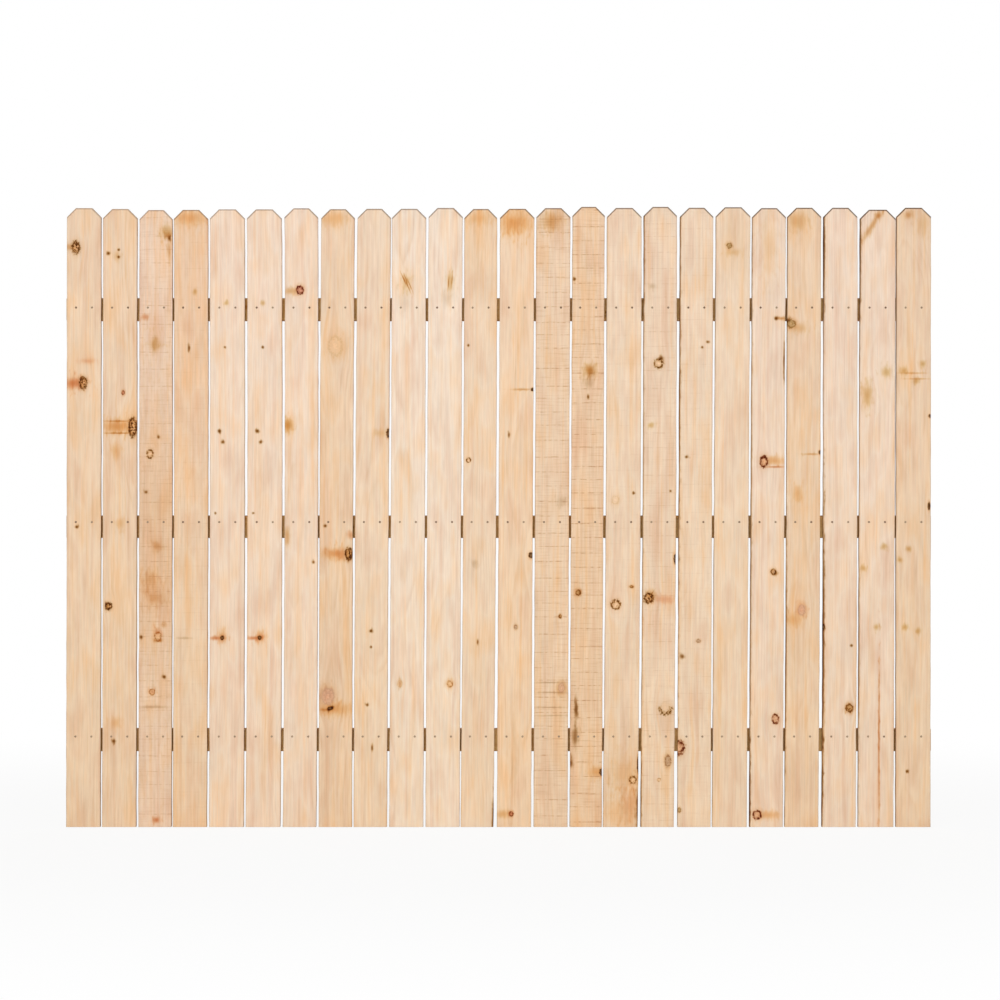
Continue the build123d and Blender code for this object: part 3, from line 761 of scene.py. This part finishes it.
# %% Material: sawn pine
def sawn_pine(name, seed, timber, half_width, length, ear, shade_level, shaded_front=False):
    """The material of one board, from its entry and its size in millimetres."""
    tone, pith, ring_width, figure, saw_strength, knots, stains = timber
    material = bpy.data.materials.new(name)
    material.use_nodes = True
    tree = material.node_tree
    tree.nodes.clear()
    board = add(tree, "ShaderNodeAttribute", attribute_name="board").outputs["Vector"]
    spot = add(tree, "ShaderNodeSeparateXYZ", [board]).outputs
    face, relief = wood_face(tree, board, seed, tone, pith, ring_width, figure, knots, stains)
    # Painted light: toward the foot the wood is a little yellower, as light bounced up from the ground tints
    # it
    low = add(tree, "ShaderNodeMapRange", [spot["Z"], 1600.0, 200.0, 0.0, 1.0])
    face = add(tree, "ShaderNodeMix", {0: low, 6: face, 7: colour("#FFFEF8")}, data_type="RGBA",
               blend_type="MULTIPLY").outputs[2]
    if saw_strength:
        face = add(tree, "ShaderNodeGroup",
                   {"Color": face, "Board": board, "Strength": saw_strength, "Seed": seed}, node_tree=marks)
        relief = add(tree, "ShaderNodeMath", [relief, face.outputs["Height"]], operation="ADD")
    face = shade_edges(tree, face, spot, half_width, length, ear, shade_level)
    # Painted shade: sides and end grain, turned away from the lamps and shaded in the gaps, get a darker,
    # warmer colour than the face
    turned = add(tree, "ShaderNodeNewGeometry").outputs["Normal"]
    turned = add(tree, "ShaderNodeSeparateXYZ", [turned]).outputs["Y"]
    edge = add(tree, "ShaderNodeMath", [turned], operation="ABSOLUTE")
    edge = add(tree, "ShaderNodeMapRange", [edge, 0.75, 0.3, 0.0, 1.0])
    face = add(tree, "ShaderNodeMix", {0: edge, 6: face, 7: colour("#C4A16E")}, data_type="RGBA",
               blend_type="MULTIPLY").outputs[2]
    if shaded_front:
        # Painted warm shade: a rail's front, seen only in the shaded slots between the pickets, is tinted
        # yellower
        front = add(tree, "ShaderNodeMapRange", [turned, -0.5, -0.9, 0.0, 1.0])
        face = add(tree, "ShaderNodeMix", {0: front, 6: face, 7: colour("#FFF1BE")}, data_type="RGBA",
                   blend_type="MULTIPLY").outputs[2]
    bump = add(tree, "ShaderNodeBump", {"Strength": 0.35, "Distance": 0.5 * MM, "Height": relief})
    # Dry sawn wood scatters nearly all light, so the gloss is broad and weak
    shader = add(tree, "ShaderNodeBsdfPrincipled",
                 {"Base Color": face, "Roughness": 0.72, "IOR": 1.5, "Specular IOR Level": 0.1,
                  "Normal": bump})
    add(tree, "ShaderNodeOutputMaterial", {"Surface": shader})
    return material


print("node groups:", [group.name for group in bpy.data.node_groups])

# %% [markdown]
# ## Measuring the solid boards
# Every picket stands a little askew, and a few bow. The solid boards already have those shapes, so each
# one is measured: its foot, its two shoulders below the cut corners, and how far its edge bows out of
# the straight line between them. The numbers could be written down here again, but then the two models
# might drift apart.

# %% Measure a picket
EAR_CUT = 25.4 * MM
LEVEL_WITHIN = 0.1 * MM
MOST_BOW = 6 * MM


def points_of(piece):
    """A piece's points as rows of x, y, z."""
    points = np.empty(len(piece.data.vertices) * 3)
    piece.data.vertices.foreach_get("co", points)
    return points.reshape(-1, 3)


def measure(node):
    """Where a solid picket's middle line runs, its half width and its heights, in metres."""
    points = points_of(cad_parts[node])
    low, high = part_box(node)
    shoulder_z = high[2] - EAR_CUT
    foot = points[points[:, 2] < low[2] + LEVEL_WITHIN][:, 0]
    shoulder = points[abs(points[:, 2] - shoulder_z) < LEVEL_WITHIN][:, 0]
    half = (foot.max() - foot.min()) / 2
    foot_x = (foot.max() + foot.min()) / 2
    shoulder_x = (shoulder.max() + shoulder.min()) / 2
    # Points on the right edge between foot and shoulder, against the straight line between them
    part_way = (points[:, 2] - low[2]) / (shoulder_z - low[2])
    straight = foot_x + half + (shoulder_x - foot_x) * part_way
    out_by = points[:, 0] - straight
    edge = (abs(out_by) < MOST_BOW) & (part_way > 0.05) & (part_way < 0.95)
    bow = 0.0
    if edge.any():
        bow = float(np.median(out_by[edge] / (4 * part_way[edge] * (1 - part_way[edge]))))
    return {"foot_x": foot_x, "shoulder_x": shoulder_x, "bow": bow, "half": half, "shoulder_z": shoulder_z,
            "head_z": high[2], "face_y": low[1], "back_y": high[1]}


def middle_line(board, z):
    """The sideways place of a board's middle at a height."""
    part_way = z / board["shoulder_z"]
    straight = board["foot_x"] + (board["shoulder_x"] - board["foot_x"]) * part_way
    return straight + board["bow"] * 4 * part_way * (1 - part_way)


measured = {node: measure(node) for node in PICKETS}
print("widest bow", round(max(abs(b["bow"]) for b in measured.values()) / MM, 1), "mm")

# %% [markdown]
# ## Sawing a picket
# A picket is a thin board with its two top corners sawn off. The solid's mesh could be rounded as it is,
# but it is all long thin triangles, which bend and shade badly, so each board is sawn anew. It starts as a
# cube of the board's size. Its long edges are subdivided, so that it can bow, and its face is divided
# across. Two bisecting cuts take off the top corners, and the board is bent to its measured middle line.
# Then a displacing noise lets the sawn edges wander by under a millimetre, and a bevel rounds every arris
# as handling does.


# %% Helpers for sawing
def select_edges(piece, wanted):
    """In edit mode, selects the edges whose direction passes a test."""
    form = bmesh.from_edit_mesh(piece.data)
    for edge in form.edges:
        edge.select_set(wanted((edge.verts[1].co - edge.verts[0].co).normalized()))
    bmesh.update_edit_mesh(piece.data)


def saw(name, size, along, across):
    """A rough board as a divided cube, with its middle at the origin, left in edit mode."""
    bpy.ops.object.select_all(action="DESELECT")
    bpy.ops.mesh.primitive_cube_add(size=1.0)
    board = bpy.context.object
    board.name = name
    bpy.ops.object.mode_set(mode="EDIT")
    bpy.ops.mesh.select_mode(type="EDGE")
    bpy.ops.mesh.select_all(action="SELECT")
    bpy.ops.transform.resize(value=size)
    longest = size.index(max(size))
    widest = size.index(sorted(size)[1])
    select_edges(board, lambda way: abs(way[longest]) > 0.9)
    bpy.ops.mesh.subdivide(number_cuts=along)
    select_edges(board, lambda way: abs(way[widest]) > 0.9)
    bpy.ops.mesh.subdivide(number_cuts=across)
    bpy.ops.mesh.select_all(action="SELECT")
    return board


def ease_edges(board, width):
    """A bevel that rounds a board's arrises."""
    eased = board.modifiers.new("eased edges", "BEVEL")
    eased.width = width
    eased.segments = 3
    eased.limit_method = "ANGLE"
    eased.angle_limit = math.radians(35)
    return eased


def apply(piece, *modifiers):
    """Applies a piece's modifiers in order."""
    bpy.context.view_layer.objects.active = piece
    for modifier in modifiers:
        bpy.ops.object.modifier_apply(modifier=modifier.name)


def mark_places(board, across, deep, along):
    """Gives a board's points their places in millimetres, for the material, and smooths its shading."""
    places = np.column_stack((across, deep, along)) / MM
    attribute = board.data.attributes.new("board", "FLOAT_VECTOR", "POINT")
    attribute.data.foreach_set("vector", places.ravel())
    bpy.ops.object.select_all(action="DESELECT")
    board.select_set(True)
    bpy.ops.object.shade_smooth_by_angle(angle=math.radians(30))


wander = bpy.data.textures.new("sawn edge wander", "CLOUDS")
wander.noise_scale = 70 * MM
wander.noise_depth = 2
print("edges wander every", round(wander.noise_scale / MM), "mm")

# %% Make the pickets
PICKET_CUTS = (70, 9)
EDGE_WANDER = 2.2 * MM
PICKET_EASE = 2.2 * MM
# Painted shade round the heads and arrises: its level on the left board, and how much it rises to the right
LEFT_SHADE_LEVEL, SHADE_LEVEL_RISE = 0.45, 0.5
faces = 0
for index, node in enumerate(PICKETS):
    size = measured[node]
    thickness = size["back_y"] - size["face_y"]
    board = saw(node.replace("picket", "sawn_picket"), (2 * size["half"], thickness, size["head_z"]),
                *PICKET_CUTS)
    bpy.ops.transform.translate(value=(0, (size["back_y"] + size["face_y"]) / 2, size["head_z"] / 2))
    for way in (-1, 1):
        bpy.ops.mesh.select_all(action="SELECT")
        bpy.ops.mesh.bisect(plane_co=(way * size["half"], 0, size["shoulder_z"]), plane_no=(way, 0, 1),
                            use_fill=True, clear_outer=True)
    bpy.ops.object.mode_set(mode="OBJECT")
    # Move to its place before the noise, so that no two boards wander alike
    points = points_of(board)
    points[:, 0] += middle_line(size, points[:, 2])
    board.data.vertices.foreach_set("co", points.ravel())
    rough = board.modifiers.new("sawn edge", "DISPLACE")
    rough.texture = wander
    rough.direction = "X"
    rough.mid_level = 0.5
    rough.strength = EDGE_WANDER
    apply(board, rough, ease_edges(board, PICKET_EASE))
    # Places straightened where the board bows
    points = points_of(board)
    mark_places(board, points[:, 0] - middle_line(size, points[:, 2]), points[:, 1] - size["face_y"],
                points[:, 2])
    # The painted shade lines grow stronger from left to right
    shade_level = LEFT_SHADE_LEVEL + SHADE_LEVEL_RISE * index / len(PICKETS)
    board.data.materials.append(sawn_pine(f"sawn pine board {index + 1:02d}", index + 1,
                                          BOARDS[index % len(BOARDS)], size["half"] / MM,
                                          size["head_z"] / MM, EAR_CUT / MM, shade_level))
    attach(board, "root")
    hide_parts(node)
    faces += len(board.data.polygons)
print("faces in the pickets:", faces)

# %% [markdown]
# ## Rails
# The rails are heavier boards on edge. They are sawn the same way, with the grain along the panel, so
# only their places differ. From the front they show in the gaps, in the shade of the pickets, and from
# behind they are seen whole.

# %% Make the rails
RAIL_CUTS = (80, 5)
RAIL_EASE = 2.5 * MM
RAIL_SEED = 40
# Knots and stains as on the boards, with the height measured from the rail's middle
RAIL_KNOTS = {
    "top_rail": ([("brown", 8, -700, 14, 9), ("ring", -12, 310, 11, 8), ("dark", 4, 935, 9, 7)],
                 [("orange", 0, -640, 40, 60, 0.4)]),
    "middle_rail": ([("ring", -6, -420, 13, 10), ("brown", 14, 160, 9, 8), ("red", -10, 760, 12, 10)],
                    [("tan", 0, 200, 30, 90, 0.4)]),
    "bottom_rail": ([("dark", 10, -880, 10, 9), ("brown", -8, -90, 12, 9), ("ring", 6, 560, 10, 8)],
                    [("grey", -12, 420, 20, 120, 0.5)]),
}
for index, node in enumerate(RAILS):
    low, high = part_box(node)
    size = tuple(high[i] - low[i] for i in range(3))
    middle = [(low[i] + high[i]) / 2 for i in range(3)]
    rail = saw(f"sawn_{node}", size, *RAIL_CUTS)
    bpy.ops.transform.translate(value=middle)
    bpy.ops.object.mode_set(mode="OBJECT")
    apply(rail, ease_edges(rail, RAIL_EASE))
    points = points_of(rail)
    mark_places(rail, points[:, 2] - middle[2], points[:, 1] - low[1], points[:, 0])
    # Each rail was cut at another distance from its pith
    timber = ("honey", (10, -60 + 90 * index), 7, 0.6, 0.3, *RAIL_KNOTS[node])
    # Each rail's front gets painted warm shade
    rail.data.materials.append(sawn_pine(f"sawn pine {node}", RAIL_SEED + index, timber,
                                         size[2] / 2 / MM, size[0] / 2 / MM, 0.0, 0.0, shaded_front=True))
    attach(rail, "root")
    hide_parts(node)
print("rails:", RAILS)

# %% [markdown]
# ## Nails
# A galvanised nail has a flat round head with a soft edge. One nail is turned from a cylinder, its rim
# beveled, its shank extruded from the back of the head and drawn to a point. It is copied to every place
# where the solid model has a nail. Weather has dulled some heads more than others. A material for each
# would do, but here each copy carries its amount of rust as an attribute, and one material serves all.

# %% Material: galvanised steel
# Weathered zinc: dull grey-brown, with a little gloss left where there is no rust
steel = bpy.data.materials.new("galvanised nail steel")
steel.use_nodes = True
tree = steel.node_tree
tree.nodes.clear()
rust = add(tree, "ShaderNodeAttribute", attribute_name="rust").outputs["Fac"]
spot = add(tree, "ShaderNodeTexCoord").outputs["Object"]
# Zinc spangle about 1 mm across
spangle = add(tree, "ShaderNodeTexNoise", {"Vector": spot, "Scale": 1 / (1.0 * MM), "Detail": 2.0})
zinc = add(tree, "ShaderNodeValToRGB", [spangle])
zinc.color_ramp.elements[0].color = colour("#8A745A")
zinc.color_ramp.elements[1].color = colour("#BCA688")
metal = add(tree, "ShaderNodeMix", {0: rust, 6: zinc, 7: colour("#5E3A20")},
            data_type="RGBA").outputs[2]
bare = add(tree, "ShaderNodeMapRange", [rust, 0.0, 1.0, 0.3, 0.05])
grit = add(tree, "ShaderNodeBump", {"Strength": 0.3, "Distance": 0.1 * MM, "Height": spangle})
shader = add(tree, "ShaderNodeBsdfPrincipled",
             {"Base Color": metal, "Metallic": bare, "Roughness": 0.55, "Normal": grit})
add(tree, "ShaderNodeOutputMaterial", {"Surface": shader})
print("nail material:", steel.name)

# %% Make one nail
HEAD_RADIUS = 3.0 * MM
HEAD_THICKNESS = 1.0 * MM
HEAD_EASE = 0.5 * MM
SHANK_RADIUS = 1.2 * MM
SHANK_LENGTH = 36 * MM
POINT_LENGTH = 5 * MM
bpy.ops.object.select_all(action="DESELECT")
bpy.ops.mesh.primitive_cylinder_add(vertices=10, radius=HEAD_RADIUS, depth=HEAD_THICKNESS,
                                    rotation=(math.radians(90), 0, 0),
                                    location=(0, -HEAD_THICKNESS / 2, 0))
pattern = bpy.context.object
pattern.name = "nail_pattern"
bpy.ops.object.transform_apply(location=True, rotation=True, scale=True)
bpy.ops.object.mode_set(mode="EDIT")
bpy.ops.mesh.select_mode(type="FACE")
form = bmesh.from_edit_mesh(pattern.data)
for face in form.faces:
    face.select_set(face.normal.y > 0.9)
bmesh.update_edit_mesh(pattern.data)
bpy.ops.mesh.inset(thickness=HEAD_RADIUS - SHANK_RADIUS)
bpy.ops.mesh.extrude_region_move(TRANSFORM_OT_translate={"value": (0, SHANK_LENGTH, 0)})
bpy.ops.mesh.extrude_region_move(TRANSFORM_OT_translate={"value": (0, POINT_LENGTH, 0)})
bpy.ops.mesh.merge(type="CENTER")
form = bmesh.from_edit_mesh(pattern.data)
for face in form.faces:
    face.select_set(face.normal.y < -0.9)
bmesh.update_edit_mesh(pattern.data)
bpy.ops.mesh.bevel(offset=HEAD_EASE, segments=1, affect="EDGES")
bpy.ops.object.mode_set(mode="OBJECT")
bpy.ops.object.shade_smooth_by_angle(angle=math.radians(50))
pattern.data.materials.append(steel)
print("faces in a nail:", len(pattern.data.polygons))

# %% Drive the nails
# Rust from nail to nail, and less of it lower down
RUST = (0.75, 0.35, 0.6, 0.9, 0.25, 0.5, 0.8)
ROW_RUST = {"top_rail": 1.0, "middle_rail": 0.8, "bottom_rail": 0.45}
NAILS_APART = 12 * MM
for node in RAILS:
    points = points_of(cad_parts[f"{node}_nails"])
    low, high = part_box(f"{node}_nails")
    heads = np.sort(points[points[:, 1] < low[1] + LEVEL_WITHIN][:, 0])
    groups = np.split(heads, np.where(np.diff(heads) > NAILS_APART)[0] + 1)
    z = (low[2] + high[2]) / 2
    copies = []
    for count, group in enumerate(groups):
        nail = pattern.copy()
        nail.data = pattern.data.copy()
        bpy.context.collection.objects.link(nail)
        offset = np.array([(group.min() + group.max()) / 2, low[1] + HEAD_THICKNESS, z])
        nail.data.vertices.foreach_set("co", (points_of(nail) + offset).ravel())
        level = nail.data.attributes.new("rust", "FLOAT", "POINT")
        amount = RUST[count % len(RUST)] * ROW_RUST[node]
        level.data.foreach_set("value", [amount] * len(nail.data.vertices))
        copies.append(nail)
    bpy.ops.object.select_all(action="DESELECT")
    for nail in copies:
        nail.select_set(True)
    bpy.context.view_layer.objects.active = copies[0]
    bpy.ops.object.join()
    row = copies[0]
    row.name = f"driven_{node}_nails"
    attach(row, "root")
    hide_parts(f"{node}_nails")
    print(node, len(groups), "nails")
bpy.data.objects.remove(pattern)

# %% [markdown]
# ## Sizes and the end
# The dressed panel must stay as large as its solids, so its visual box is printed.

# %% Write the sizes and finish
low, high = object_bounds()
print("visual box in metres:", [round(float(v), 4) for v in low], [round(float(v), 4) for v in high])
